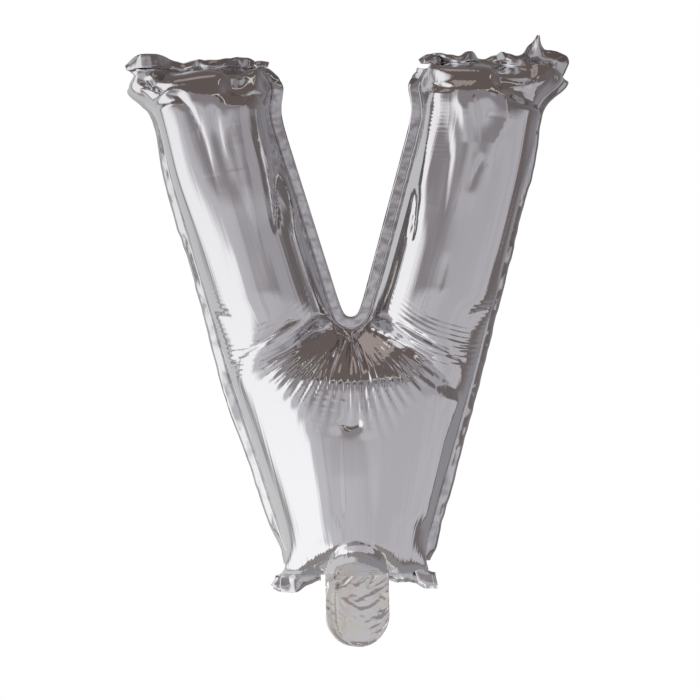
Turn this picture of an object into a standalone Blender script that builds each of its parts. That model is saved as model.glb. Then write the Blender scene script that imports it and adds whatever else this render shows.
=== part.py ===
"""A foil letter V balloon, inflated, as separate pieces.

Two metallised films, a front and a back panel, are welded together round the letter. The air
between them makes each leg a round tube, and the welded margin stands out round it as a thin
band. A tail hangs from the neck at the bottom, with the two films of the filling valve in it.

The frame: the origin is the middle of the bottom weld, where the tail starts. +Z is up the
letter, +X to the right as it is read and -Y out of the front panel. The weld lies in y = 0,
but for the heads and the foot, where it waves to the front and the back.
"""

import math

import bmesh
import bpy
import numpy as np

MM = 0.001

# The letter as it stands inflated, along the weld line, in mm.
TOP = 346.0  # height of the welds across the two heads
HEAD_OUTER = 140.0  # half-width of the letter at the heads, without their ears
HEAD_INNER = 62.4  # half-width of the gap between the heads
KNEE_X, KNEE_Z = 84.0, 138.0  # where a leg's outer weld bends into the body's
FOOT = 42.5  # half-width of the bottom weld
NOTCH_Z = 166.5  # lowest point of the weld round the notch
NOTCH_RADIUS = 14.0
WALL = 10.0  # thickness of the envelope's shell
FIT = 0.3  # gap between pieces that touch

# The corners stand out as ears, and the outer weld draws in below them: size and spread.
EAR, EAR_SPREAD = 7.5, 17.0
WAIST, WAIST_BELOW, WAIST_SPREAD = 2.5, 42.0, 22.0
INNER_EAR, INNER_EAR_BELOW, INNER_EAR_SPREAD = 8.0, 12.0, 10.0
FOOT_EAR, FOOT_EAR_SPREAD = 5.0, 5.0

# The welds across the heads and the foot wave to and fro: swing, reach, then waves and phase.
# Between them the weld and its margin are flat.
HEAD_SWING, HEAD_REACH = 7.0, 8.0
HEAD_STILL = (30.0, 45.0)  # how far below the head the wave dies out, and is gone
HEAD_WAVES = {1: (2.5, 0.4), -1: (2.2, 2.2)}
FOOT_SWING, FOOT_REACH = 4.0, 4.0
FOOT_WAVES = {1: (1.5, 0.0), -1: (1.5, 1.0)}
NECK_FLAT = (0.3, 0.55)  # shares of the way to the middle where the foot's wave fades out

# How far a film stands out of the weld's plane, in mm. The rows are stations from the heads to
# the notch, 12 steps, and on to the foot, 8 steps. The columns go in 8 steps from the outer weld
# to the inner one, or to the letter's middle below the notch.
LEG_STATIONS, BODY_STATIONS, ACROSS = 12, 8, 8
DEPTHS = (
    (0, 0, 0, 0, 0, 0, 0, 0, 0),
    (0, 4.5, 7.0, 7.0, 6.5, 9.0, 10.0, 6.0, 0),
    (0, 14.0, 19.9, 22.3, 23.4, 22.4, 17.3, 8.5, 0),
    (0, 16.2, 26.4, 33.3, 35.8, 33.3, 26.2, 14.5, 0),
    (0, 15.4, 27.4, 35.0, 37.5, 34.4, 26.2, 13.9, 0),
    (0, 14.9, 26.8, 34.7, 37.3, 34.4, 26.2, 13.9, 0),
    (0, 14.3, 26.3, 34.4, 37.3, 34.5, 26.4, 14.0, 0),
    (0, 13.8, 26.1, 34.5, 37.5, 34.7, 26.5, 14.1, 0),
    (0, 13.7, 26.2, 34.6, 37.6, 34.7, 26.5, 14.0, 0),
    (0, 10.0, 22.8, 31.9, 35.2, 32.2, 23.3, 10.2, 0),
    (0, 9.2, 22.8, 31.7, 34.0, 29.1, 17.3, 4.9, 0),
    (0, 9.5, 23.4, 32.0, 33.1, 26.0, 11.8, 2.2, 0),
    (0, 9.8, 23.7, 32.0, 32.7, 24.7, 9.9, 1.6, 0),
    (0, 10.2, 23.7, 31.8, 32.3, 24.9, 13.0, 6.0, 4.3),
    (0, 11.4, 23.4, 30.7, 32.6, 29.2, 23.3, 18.6, 17.0),
    (0, 12.9, 24.4, 33.1, 38.7, 41.2, 41.3, 40.5, 40.0),
    (0, 13.1, 24.9, 34.5, 41.2, 44.7, 46.0, 46.2, 46.2),
    (0, 12.8, 25.0, 34.8, 41.4, 44.9, 46.4, 46.8, 46.9),
    (0, 12.1, 22.4, 30.1, 35.3, 38.6, 40.2, 40.9, 41.0),
    (0, 9.5, 17.5, 21.3, 22.7, 23.4, 23.6, 23.8, 23.8),
    (0, 0, 0, 0, 0, 0, 0, 0, 0),
)
LEG_FULL, BODY_FULL = 37.6, 46.9  # the deepest of each, which the shell's inside is scaled by

# Ridges, and grooves where the height is negative, seen from the front: the x and z along each,
# its height, its half-width to the left and right of the way it runs, and the shares of its
# length over which it comes in and goes out.
FOLDS = (
    (((-124, 318), (-112, 270), (-97, 205), (-84, 152)), 3.0, 11.0, 11.0, 0.1, 0.5),
    (((-141.7, 346), (-134, 336), (-126.5, 327.3)), -5.0, 5.0, 5.0, 0.3, 0.1),
    (((-134.7, 322.8), (-126.5, 326.6), (-118.3, 325.4), (-111, 317.5), (-103.8, 305.7), (-92.1, 281)),
     -4.5, 5.0, 5.0, 0.15, 0.8),
    (((-80.1, 346.7), (-72, 334), (-63.9, 325.9)), -5.0, 5.0, 5.0, 0.3, 0.1),
    (((-65.3, 324.2), (-65.9, 315.1), (-62.7, 298), (-56.3, 264.5), (-49.2, 231.7)),
     -3.0, 5.0, 5.0, 0.05, 0.9),
    (((-95, 338), (-93, 300), (-86, 262)), -6.0, 12.0, 12.0, 0.05, 0.7),
    (((-57, 318), (-54, 282.8), (-47.5, 228.3), (-38, 190)), 3.0, 6.0, 6.0, 0.05, 0.3),
    (((-81.6, 147.4), (-64.3, 157.2), (-41.6, 172.4), (-32.7, 174.9)), -1.5, 4.0, 4.0, 0.2, 0.2),
    (((97.5, 340), (101.9, 321.5), (108.6, 315.2), (104.2, 301.7), (96.4, 284.9), (91.7, 259.1)),
     2.4, 5.0, 5.0, 0.15, 0.5),
    (((117, 328), (115, 312)), -11.0, 9.0, 9.0, 0.3, 0.4),
    (((127, 314), (113, 270), (98, 205), (87, 155)), 3.0, 9.0, 9.0, 0.08, 0.4),
    (((62, 322), (55, 290), (46, 240), (38, 185)), 2.5, 7.0, 7.0, 0.08, 0.3),
    (((54, 326), (62, 330), (70, 327), (73, 316)), -3.5, 4.5, 4.5, 0.2, 0.4),
    (((82, 340), (80, 300), (72, 240)), -4.0, 8.0, 8.0, 0.05, 0.6),
    (((28.4, 170.1), (61.4, 152.3), (79.5, 139.7)), -1.5, 4.0, 4.0, 0.2, 0.2),
    (((-6, 168), (-21, 166), (-42, 153), (-62, 141), (-76, 134)), -9.0, 14.0, 7.0, 0.25, 0.9),
    (((6, 168), (20, 164), (48, 147), (64, 133), (74, 128)), -9.0, 7.0, 14.0, 0.25, 0.9),
)
RELIEF_FROM = 12.0  # the folds fade out where the film is less deep than this
NECK_DOME = (0.0, -4.0, 21.5, 29.0, 2.2)  # middle x and z, half width, half height, rise

# The welded margin, two films thick.
MARGIN = 8.0
MARGIN_THICK = 1.0
LONG_CUT, SHORT_CUT = 0.004, 0.006  # share of a long and of a short band left open at a corner

# The tail's two films and the valve's two films between them.
TAIL_HALF = 22.0
TAIL_LENGTH = 47.0
TAIL_ROUND = 18.0
TAIL_THICK = 0.6
VALVE_HALF = 16.0
VALVE_LENGTH = 43.0
VALVE_ROUND = 12.0
VALVE_THICK = 0.4

# Rows of a panel's grid for each station of a leg and of the body, and columns for each across.
FINER = 3
LEG_ROWS, BODY_ROWS, COLUMNS = LEG_STATIONS * FINER, BODY_STATIONS * FINER, ACROSS * FINER
INSIDE_STEP = 3  # the shell's inside keeps every third row and column
STRAIGHT_SHARE = 0.86  # of a leg's rows, those that end on the straight part of its inner weld

FOIL = ("foil", (0.78, 0.78, 0.80), 0.12, 1.0)
WELDED_FOIL = ("welded_foil", (0.66, 0.66, 0.68), 0.25, 1.0)
TAIL_FOIL = ("tail_foil", (0.72, 0.71, 0.69), 0.3, 1.0)
VALVE_FILM = ("valve_film", (0.82, 0.80, 0.74), 0.2, 0.0)


def clear_scene():
    for old in list(bpy.data.objects):
        bpy.data.objects.remove(old)


def material(name, colour, roughness, metallic):
    """One Principled material, made the first time it is asked for."""
    made = bpy.data.materials.get(name)
    if made:
        return made
    made = bpy.data.materials.new(name)
    made.use_nodes = True
    shader = made.node_tree.nodes["Principled BSDF"]
    shader.inputs["Base Color"].default_value = (*colour, 1.0)
    shader.inputs["Roughness"].default_value = roughness
    shader.inputs["Metallic"].default_value = metallic
    return made


def mesh_object(name, points_mm, faces, finish):
    """A closed mesh from points in mm, with doubles merged and every face turned outwards."""
    mesh = bpy.data.meshes.new(name)
    mesh.from_pydata((np.asarray(points_mm) * MM).tolist(), [], faces)
    work = bmesh.new()
    work.from_mesh(mesh)
    bmesh.ops.remove_doubles(work, verts=work.verts, dist=0.00001)
    bmesh.ops.recalc_face_normals(work, faces=work.faces)
    if work.calc_volume(signed=True) < 0:
        bmesh.ops.reverse_faces(work, faces=work.faces)
    work.to_mesh(mesh)
    work.free()
    mesh.shade_smooth()
    mesh.set_sharp_from_angle(angle=math.radians(40))
    mesh.materials.append(material(*finish))
    made = bpy.data.objects.new(name, mesh)
    bpy.context.scene.collection.objects.link(made)
    return made


def smooth(x, low, high):
    """0 below low and 1 above high, eased between them."""
    share = np.clip((x - low) / (high - low), 0.0, 1.0)
    return share * share * (3 - 2 * share)


def bell(x):
    return np.exp(-(x**2))


def meet(p, along_p, q, along_q):
    """Where the line through p meets the line through q."""
    p, along_p, q, along_q = (np.array(v, float) for v in (p, along_p, q, along_q))
    share = np.linalg.solve(np.column_stack([along_p, -along_q]), q - p)[0]
    return p + share * along_p


def left_of(along):
    """The unit normal to the left of a direction in the XZ plane."""
    along = np.array(along, float) / np.linalg.norm(along)
    return np.array([-along[1], along[0]])


class Outline:
    """The right half of the letter's weld line, moved inwards by inset mm (outwards if negative).

    outer(t) runs down the outside, from the head at 0 past the knee at 1 to the foot at 2.
    inner(t) runs down the gap, from the head at 0 round the notch to its lowest point at 1,
    and then down the letter's middle to the bottom weld at 2.
    """

    def __init__(self, inset):
        self.top, self.bottom = TOP - inset, inset
        self.centre = np.array([0.0, NOTCH_Z + NOTCH_RADIUS])
        head = np.array([HEAD_INNER, TOP])
        reach = head - self.centre
        tangent = math.asin(NOTCH_RADIUS / np.linalg.norm(reach))
        self.lean = math.atan2(*reach) - tangent
        self.radius = NOTCH_RADIUS + inset
        normal = np.array([math.cos(self.lean), -math.sin(self.lean)])
        self.touch = self.centre + self.radius * normal

        leg = np.array([KNEE_X - HEAD_OUTER, KNEE_Z - TOP])
        body = np.array([FOOT - KNEE_X, -KNEE_Z])
        on_leg = np.array([HEAD_OUTER, TOP]) - inset * left_of(leg)
        on_body = np.array([FOOT, 0.0]) - inset * left_of(body)
        self.head_outer = meet(on_leg, leg, (0, self.top), (1, 0))
        self.knee = meet(on_leg, leg, on_body, body)
        self.foot = meet(on_body, body, (0, self.bottom), (1, 0))
        up_leg = (math.sin(self.lean), math.cos(self.lean))
        self.head_inner = meet(self.touch, up_leg, (0, self.top), (1, 0))

    def outer(self, t):
        if t <= 1:
            x, z = (1 - t) * self.head_outer + t * self.knee
        else:
            x, z = (2 - t) * self.knee + (t - 1) * self.foot
        below = max(TOP - z, 0.0)
        ear = EAR * bell(below / EAR_SPREAD) + FOOT_EAR * bell(max(z, 0.0) / FOOT_EAR_SPREAD)
        return np.array([x + ear - WAIST * bell((below - WAIST_BELOW) / WAIST_SPREAD), z])

    def inner(self, t):
        if t > 1:
            return np.array([0.0, (2 - t) * (self.centre[1] - self.radius) + (t - 1) * self.bottom])
        if t <= STRAIGHT_SHARE:
            share = t / STRAIGHT_SHARE
            x, z = (1 - share) * self.head_inner + share * self.touch
        else:
            turn = (t - STRAIGHT_SHARE) / (1 - STRAIGHT_SHARE) * (math.pi / 2 - self.lean)
            angle = -self.lean - turn
            x, z = self.centre + self.radius * np.array([math.cos(angle), math.sin(angle)])
        return np.array([x - INNER_EAR * bell((TOP - z - INNER_EAR_BELOW) / INNER_EAR_SPREAD), z])


def wave(share, waves, phase):
    """A sine along a weld, 0 at both its ends."""
    fade = np.minimum(1.0, 6 * np.minimum(share, 1 - share))
    return fade * np.sin(2 * math.pi * waves * share + phase)


def swing(x, z, half):
    """How far the weld's surface stands off y = 0 near a head and the foot, on the half +1 or -1."""
    head = np.clip((HEAD_OUTER + EAR - abs(x)) / (HEAD_OUTER + EAR - HEAD_INNER), 0, 1)
    foot = np.clip(1 - abs(x) / (FOOT + FOOT_EAR), 0, 1)
    at_head = np.exp(-np.maximum(TOP - z, 0) / HEAD_REACH) * (1 - smooth(TOP - z, *HEAD_STILL))
    at_foot = np.exp(-np.maximum(z, 0) / FOOT_REACH) * (1 - smooth(foot, *NECK_FLAT))
    to_and_fro = HEAD_SWING * at_head * wave(head, *HEAD_WAVES[half])
    return to_and_fro + FOOT_SWING * at_foot * wave(foot, *FOOT_WAVES[half])


def between_rows(table, finer):
    """A table with finer rows for each of its own, on Catmull-Rom curves down its columns."""
    ends = [2 * table[0] - table[1]], [2 * table[-1] - table[-2]]
    a = np.concatenate([ends[0], table, ends[1]])
    rows = []
    for k in range(finer):
        s = k / finer
        curve = (
            (2 * s**2 - s**3 - s) * a[:-3]
            + (3 * s**3 - 5 * s**2 + 2) * a[1:-2]
            + (4 * s**2 + s - 3 * s**3) * a[2:-1]
            + (s**3 - s**2) * a[3:]
        )
        rows.append(curve / 2)
    fine = np.stack(rows, 1).reshape(-1, *table.shape[1:])
    return np.concatenate([fine, table[-1:]])


def fold(x, z, line, height, left_half, right_half, comes, goes):
    """The height at x, z of one ridge or groove: a bell across it, eased in and out along it."""
    line = np.array(line, float)
    steps = np.linalg.norm(np.diff(line, axis=0), axis=1)
    nearest, share, on_left = np.full(x.shape, np.inf), np.zeros(x.shape), np.zeros(x.shape, bool)
    for k, step in enumerate(steps):
        (x0, z0), way = line[k], (line[k + 1] - line[k]) / step
        along = np.clip((x - x0) * way[0] + (z - z0) * way[1], 0, step)
        away = np.hypot(x - x0 - along * way[0], z - z0 - along * way[1])
        closer = away < nearest
        share = np.where(closer, (steps[:k].sum() + along) / steps.sum(), share)
        on_left = np.where(closer, way[0] * (z - z0) > way[1] * (x - x0), on_left)
        nearest = np.minimum(nearest, away)
    eased = smooth(share, 0, comes) * (1 - smooth(share, 1 - goes, 1))
    return height * eased * bell(nearest / np.where(on_left, left_half, right_half))


def relief(x, z):
    """The folds and the dome over the neck, at x and z as seen from outside the panel."""
    middle_x, middle_z, half_width, half_height, rise = NECK_DOME
    off = ((x - middle_x) / half_width) ** 2 + ((z - middle_z) / half_height) ** 2
    return sum(fold(x, z, *row) for row in FOLDS) + rise * np.sqrt(np.clip(1 - off, 0, 1))


def clustered(share):
    """Steps that crowd towards both ends, where a panel turns fastest."""
    return (1 - np.cos(math.pi * share)) / 2


def stations():
    """The t of every row of a panel's grid: 0 at the head, 1 at the knee and 2 at the foot."""
    leg = clustered(np.linspace(0, 1, LEG_ROWS + 1))
    return np.concatenate([leg, 1 + clustered(np.linspace(0, 1, BODY_ROWS + 1))[1:]])


def panel_points(inset, step, side, half):
    """One half of a panel's surface (half 1 is +X), a point for every step rows and columns."""
    outline = Outline(inset)
    t = stations()[::step, None]
    u = clustered(np.linspace(0, 1, COLUMNS // step + 1))[None, :, None]
    outer = np.array([outline.outer(s) for s in t[:, 0]])[:, None]
    inner = np.array([outline.inner(s) for s in t[:, 0]])[:, None]
    x, z = np.moveaxis((1 - u) * outer + u * inner, -1, 0)
    depths = between_rows(between_rows(np.array(DEPTHS, float), FINER).T, FINER).T[::step, ::step]
    depths = depths + relief(x * half * side, z) * smooth(depths, 1.0, RELIEF_FROM)
    full = LEG_FULL + (BODY_FULL - LEG_FULL) * smooth(t, 1.1, 1.6)
    depths = np.maximum(depths, 0.0) * (1 - inset / full)
    y = swing(x, z, half) - side * (FIT / 2 + depths)
    return np.stack([x * half, y, z], -1).reshape(-1, 3)


def grid_faces(rows, columns, first=0):
    """The quads of a grid of points stored row by row, columns + 1 to a row."""
    wide = columns + 1
    starts = [first + r * wide + c for r in range(rows) for c in range(columns)]
    return [[k, k + 1, k + 1 + wide, k + wide] for k in starts]


def rim(rows, columns, leg_rows):
    """The grid's edge points in order: up the gap, across the head, down and across the foot."""
    wide = columns + 1
    up_gap = [r * wide + columns for r in range(leg_rows, 0, -1)]
    across_head = list(range(columns, 0, -1))
    down_outside = [r * wide for r in range(rows)]
    across_foot = [rows * wide + c for c in range(columns + 1)]
    return up_gap + across_head + down_outside + across_foot


def panel(name, side):
    """The front half of the envelope (side 1) or the back half (side -1).

    It is a shell WALL thick whose edge is a land along the weld.
    """
    rows, step = LEG_ROWS + BODY_ROWS, INSIDE_STEP
    outside = (LEG_ROWS + BODY_ROWS + 1) * (COLUMNS + 1)
    faces = grid_faces(rows, COLUMNS) + grid_faces(rows // step, COLUMNS // step, outside)
    fine = rim(rows, COLUMNS, LEG_ROWS)
    coarse = [outside + i for i in rim(rows // step, COLUMNS // step, LEG_ROWS // step)]
    for k in range(len(coarse) - 1):
        edge = fine[step * k : step * k + step + 1]
        turn = step // 2
        faces += [[edge[i], edge[i + 1], coarse[k]] for i in range(turn)]
        faces += [[edge[turn], coarse[k + 1], coarse[k]]]
        faces += [[edge[i], edge[i + 1], coarse[k + 1]] for i in range(turn, step)]
    points, both = [], []
    for half in (1, -1):
        both += [[i + len(points) for i in face] for face in faces]
        points += panel_points(0.0, 1, side, half).tolist() + panel_points(WALL, step, side, half).tolist()
    return mesh_object(name, points, both, FOIL)


def band(name, near, far, finish):
    """A strip MARGIN_THICK thick between two edges, given as lists of (x, z) along its length.

    It waves with the weld at the heads and the foot.
    """
    thick = MARGIN_THICK / 2
    corners = ((0, -thick), (1, -thick), (1, thick), (0, thick))  # which edge, and how far back
    points = []
    for edges in zip(near, far):
        for k, y in corners:
            x, z = edges[k]
            points.append((x, y + swing(x, z, 1 if x > 0 else -1), z))
    last = len(points) - 4
    faces = []
    for ring in range(0, last, 4):
        faces += [[ring + k, ring + (k + 1) % 4, ring + 4 + (k + 1) % 4, ring + 4 + k] for k in range(4)]
    faces += [[0, 1, 2, 3], [last + 3, last + 2, last + 1, last]]
    return mesh_object(name, points, faces, finish)


def mirrored(points):
    return [(-x, z) for x, z in points]


def trimmed(steps, first, last):
    """The steps between first and last, with those two for ends."""
    inside = [s for s in steps if first < s < last]
    return [first] + inside + [last]


def margins():
    """The welded margin, split at the letter's corners, where the real one is pinched."""
    near, far = Outline(-FIT), Outline(-MARGIN)
    neck = TAIL_HALF + FIT
    down = trimmed(stations(), LONG_CUT, 2 - LONG_CUT)
    round_notch = trimmed(stations(), LONG_CUT, 1.0)
    columns = clustered(np.linspace(0, 1, COLUMNS + 1))
    across = trimmed(columns, SHORT_CUT, 1 - SHORT_CUT)
    edges, head, foot, gap = [], [], [], []
    for outline in (near, far):
        edges.append([outline.outer(t) for t in down])
        head.append([(1 - s) * outline.outer(0) + s * outline.inner(0) for s in across])
        corner, middle = outline.outer(2), np.array([0.0, outline.bottom])
        whole = corner[0] - neck
        to_neck = trimmed(columns * corner[0] / whole, SHORT_CUT, 1.0)
        foot.append([corner + (middle - corner) * s * whole / corner[0] for s in to_neck])
        right = [outline.inner(t) for t in round_notch]
        gap.append(right + mirrored(right[-2::-1]))
    for side in ("right", "left"):
        turn = mirrored if side == "left" else list
        band(f"margin_outer_{side}", *map(turn, edges), WELDED_FOIL)
        band(f"margin_head_{side}", *map(turn, head), WELDED_FOIL)
        band(f"margin_foot_{side}", *map(turn, foot), WELDED_FOIL)
    band("margin_notch", *gap, WELDED_FOIL)


def tongue(half, length, round_length, steps=12):
    """The outline of a flat tongue that hangs from the neck: straight sides and a half-ellipse end."""
    turns = [math.pi * k / steps for k in range(steps + 1)]
    end = [(half * math.cos(a), -(length - round_length) - round_length * math.sin(a)) for a in turns]
    return [(half, -FIT)] + end + [(-half, -FIT)]


def plate(name, outline, low, high, finish):
    """A flat sheet of that outline, from y = low to y = high."""
    count = len(outline)
    points = [(x, y, z) for y in (low, high) for x, z in outline]
    faces = [[k, (k + 1) % count, count + (k + 1) % count, count + k] for k in range(count)]
    faces += [list(range(count)), [count + k for k in reversed(range(count))]]
    return mesh_object(name, points, faces, finish)


def tail():
    """Four films from the middle outwards: the valve's two, and the tail's two over them."""
    near = FIT / 2
    far = near + VALVE_THICK
    valve = tongue(VALVE_HALF, VALVE_LENGTH, VALVE_ROUND)
    plate("valve_film_front", valve, -far, -near, VALVE_FILM)
    plate("valve_film_back", valve, near, far, VALVE_FILM)
    near = far + FIT
    far = near + TAIL_THICK
    sheet = tongue(TAIL_HALF, TAIL_LENGTH, TAIL_ROUND)
    plate("tail_front", sheet, -far, -near, TAIL_FOIL)
    plate("tail_back", sheet, near, far, TAIL_FOIL)


clear_scene()
panel("front_panel", 1)
panel("back_panel", -1)
margins()
tail()
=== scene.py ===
import math

import bpy
import numpy as np
from mathutils import Matrix, Vector


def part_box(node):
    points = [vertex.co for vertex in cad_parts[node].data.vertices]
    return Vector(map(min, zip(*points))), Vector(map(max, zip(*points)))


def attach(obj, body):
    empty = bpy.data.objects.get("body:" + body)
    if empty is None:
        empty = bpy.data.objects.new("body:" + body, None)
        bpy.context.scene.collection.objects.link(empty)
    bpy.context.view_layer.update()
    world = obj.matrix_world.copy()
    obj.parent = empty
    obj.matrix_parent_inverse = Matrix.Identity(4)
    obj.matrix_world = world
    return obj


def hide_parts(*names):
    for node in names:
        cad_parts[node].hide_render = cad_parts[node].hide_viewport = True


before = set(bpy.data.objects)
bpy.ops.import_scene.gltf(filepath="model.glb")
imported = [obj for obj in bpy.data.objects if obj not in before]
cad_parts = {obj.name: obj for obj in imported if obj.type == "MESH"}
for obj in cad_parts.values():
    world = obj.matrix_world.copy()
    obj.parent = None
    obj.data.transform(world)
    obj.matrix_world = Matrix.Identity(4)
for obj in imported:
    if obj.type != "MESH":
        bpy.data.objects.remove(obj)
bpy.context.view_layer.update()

mm = 0.001
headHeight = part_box("front_panel")[1][2] / mm  # the welds across the heads
print("frame loaded:", len(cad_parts), "nodes, letter", round(headHeight), "mm high")


def ease(x, low, high):
    # 0 below low, 1 above high, a smooth cubic between
    s = np.clip((x - low) / (high - low), 0, 1)
    return s * s * (3 - 2 * s)


def between(x, comes, fades):
    # 1 from where it has come in to where it starts to fade
    return ease(x, *comes) * (1 - ease(x, *fades))


def bump(x, middle, half):
    # a bell: e to the minus square of the distance from the middle over half
    return np.exp(-((x - middle) / half) ** 2)


def bell(x, most, middle, half):
    # the same, with its height
    return most * bump(x, middle, half)


def chordOf(dist, radius, film):
    # film distance dist from a weld, laid on a quarter ellipse first, radius high and film long: how far from
    # the weld it ends up
    turn = np.minimum(dist / film, 1) * math.pi / 2
    return radius * (1 - np.cos(turn)) + np.maximum(dist - film, 0)


def riseOf(dist, film):
    # the depth on the same quarter ellipse, as a share of its full depth
    return np.sin(np.minimum(dist / film, 1) * math.pi / 2)


def upright(plan, depth=0):
    # points (x, z) stood up as (x, depth, z)
    return np.stack([plan[..., 0], depth + 0 * plan[..., 0], plan[..., 1]], -1)


def doubled(points, axis):
    # twice as many cells along one axis, new points by cubic interpolation
    p = np.moveaxis(points, axis, 0)
    wide = np.concatenate([2 * p[:1] - p[1:2], p, 2 * p[-1:] - p[-2:-1]])
    out = np.empty((2 * len(p) - 1,) + p.shape[1:])
    out[::2] = p
    out[1::2] = (9 * (wide[1:-2] + wide[2:-1]) - wide[:-3] - wide[3:]) / 16
    return np.moveaxis(out, 0, axis)


# the film's cut and the welds it hangs between, in mm, for the right half of the letter
filled = {  # the weld line of the filled balloon
    "top": headHeight,
    "headOuter": 140.0,  # without the ears
    "headInner": 62.4,
    "knee": (84.0, 138.0),
    "foot": 42.5,
    "notch": 166.5,
    "notchRadius": 14.0,
}
cut = {  # the same line on the flat film, before it was filled
    "top": 402.0,
    "headInner": 62.0,
    "headOuter": 192.0,
    "foot": 60.0,
    "notch": 200.0,
    "notchRadius": 12.0,
    "kneeBelow": 6.0,  # how far down the outer weld the row from the notch ends, past its even share
}
tube = {  # the start shape; t is 0 at the head, 1 at the notch and 2 at the foot
    "leg": 38.0,  # how deep it is
    "body": 47.0,
    "foot": 38.0,
    "deepens": (0.85, 1.32),  # as t, from the leg's depth to the body's
    "thins": (1.5, 2.0),  # and on to the foot's
    "opens": (1.0, 1.2),  # where its rows turn from half circles to quarter circles
    "headRound": 13.0,  # height and film length of the quarter ellipses at its ends
    "headFilm": 47.0,
    "footRound": 19.0,
    "footFilm": 49.0,
    "leastRate": 0.2,  # of place gained for film used, at the outer weld's ends
}
rightWeld = {
    "gatherSpread": 45.0,  # mm of film either side of the knee where the outer weld is gathered
    "ear": (11.0, 13.0, 10.0),  # how far the sides stand out below the corners: most, how far below, spread
    "waist": (2.5, 42.0, 22.0),  # how far they draw in below that
    "innerEar": (8.0, 12.0, 14.0),
    "footEar": (5.0, 0.0, 5.0),
    "head": (2.5, 8.0, 0.4, (2.0, 3.0)),  # the sinuous weld: waves, swing, phase, and the shares of the way
    "foot": (1.5, 4.0, 0.0, (0.3, 0.55)),  # inwards where its sine fades out: never at the heads
}
leftWeld = dict(rightWeld, head=(2.2, 8.0, 2.2, (2.0, 3.0)), foot=(1.5, 4.0, 1.0, (0.3, 0.55)))
margin = {
    "width": 8.0,
    "thick": 0.25,
    "cells": 1,  # across, on the coarsest grid
    "bend": 0.25,
    "corner": (10.0, 45.0),  # within this of the heads and the foot it is cut as long as the flat film
}
relaxing = {
    "rows": 16,  # of a leg and of the body on the coarsest grid, doubled for each level after it
    "columns": 10,
    "steps": (600, 600, 200),
    "squeeze": 0.005,  # how far a cell resists being shortened, as a share of being stretched
    "push": 0.012,  # mm a step on the coarsest grid
    "noise": 0.8,
    "keep": 0.985,  # share of the speed kept each step
    "bend": 0.1,
    "guide": (0.08, 0.5),  # how firmly the side welds are drawn to their lines, at the corners and between
    "fromFoot": (4.0, 20.0),  # mm over which that grows
    "fromHead": (20.0, 6.0),
    "endGuide": 0.2,  # the same for the welds across the heads and the foot
    "apart": 0.02,  # mm between the panels where they would cross
    "seed": 3,
}


def gapLine(line):
    # the straight weld beside the gap touches the notch's circle: its ends, lean, length and the arc's length
    centre = np.array([0.0, line["notch"] + line["notchRadius"]])
    head = np.array([line["headInner"], line["top"]])
    reach = head - centre
    lean = math.atan2(*reach) - math.asin(line["notchRadius"] / np.linalg.norm(reach))
    touch = centre + line["notchRadius"] * np.array([math.cos(lean), -math.sin(lean)])
    return head, touch, centre, lean, np.linalg.norm(head - touch), line["notchRadius"] * (math.pi / 2 - lean)


def alongGap(line, s):
    # points s mm from the head down the gap's weld, then round the circle to its lowest point
    head, touch, centre, lean, straight, _ = gapLine(line)
    share = np.clip(s / straight, 0, 1)[..., None]
    angle = -lean - np.clip(s - straight, 0, None) / line["notchRadius"]
    bend = centre + line["notchRadius"] * np.stack([np.cos(angle), np.sin(angle)], -1)
    return np.where((s <= straight)[..., None], (1 - share) * head + share * touch, bend)


def endWeld(start, end, count, waves, swing, phase, fades):
    # the weld across a head or the foot: a straight chord with a sine in depth
    v = np.linspace(0, 1, count)
    fade = np.minimum(1, 6 * np.minimum(v, 1 - v)) * (1 - ease(v, *fades))
    line = start + (end - start) * v[:, None]
    return upright(line, swing * fade * np.sin(2 * math.pi * waves * v + phase))


def outerWeld(side, film):
    # the filled outer weld at shares of its flat length. Its place is the running sum of a rate, which is low
    # at both ends, where the weld is crowded, and at the knee, where it is gathered; bells stand off from it
    long = film["outer"]
    dense = np.linspace(0, long, 4001)  # close enough to sum over
    rate = riseOf(dense, tube["headFilm"]) * riseOf(long - dense, tube["footFilm"])
    rate = np.maximum(rate, tube["leastRate"])
    gathers = bump(dense, film["kneeShare"] * long, side["gatherSpread"])
    knee = np.array(filled["knee"])
    head, foot = np.array([filled["headOuter"], filled["top"]]), np.array([filled["foot"], 0.0])
    leg, body = np.linalg.norm(head - knee), np.linalg.norm(knee - foot)
    deep = (np.trapz(rate, dense) - leg - body) / np.trapz(rate * gathers, dense)
    rate = rate * (1 - deep * gathers)
    place = np.concatenate([[0], np.cumsum((rate[1:] + rate[:-1]) / 2 * np.diff(dense))])
    place = np.interp(film["share"] * long, dense, place * (leg + body) / place[-1])[:, None]
    above, below = head + (knee - head) * place / leg, knee + (foot - knee) * (place - leg) / body
    line = np.where(place <= leg, above, below)
    down = filled["top"] - line[:, 1]
    line[:, 0] += bell(down, *side["ear"]) - bell(down, *side["waist"])
    line[:, 0] += bell(line[:, 1], *side["footEar"])
    return line


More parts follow.
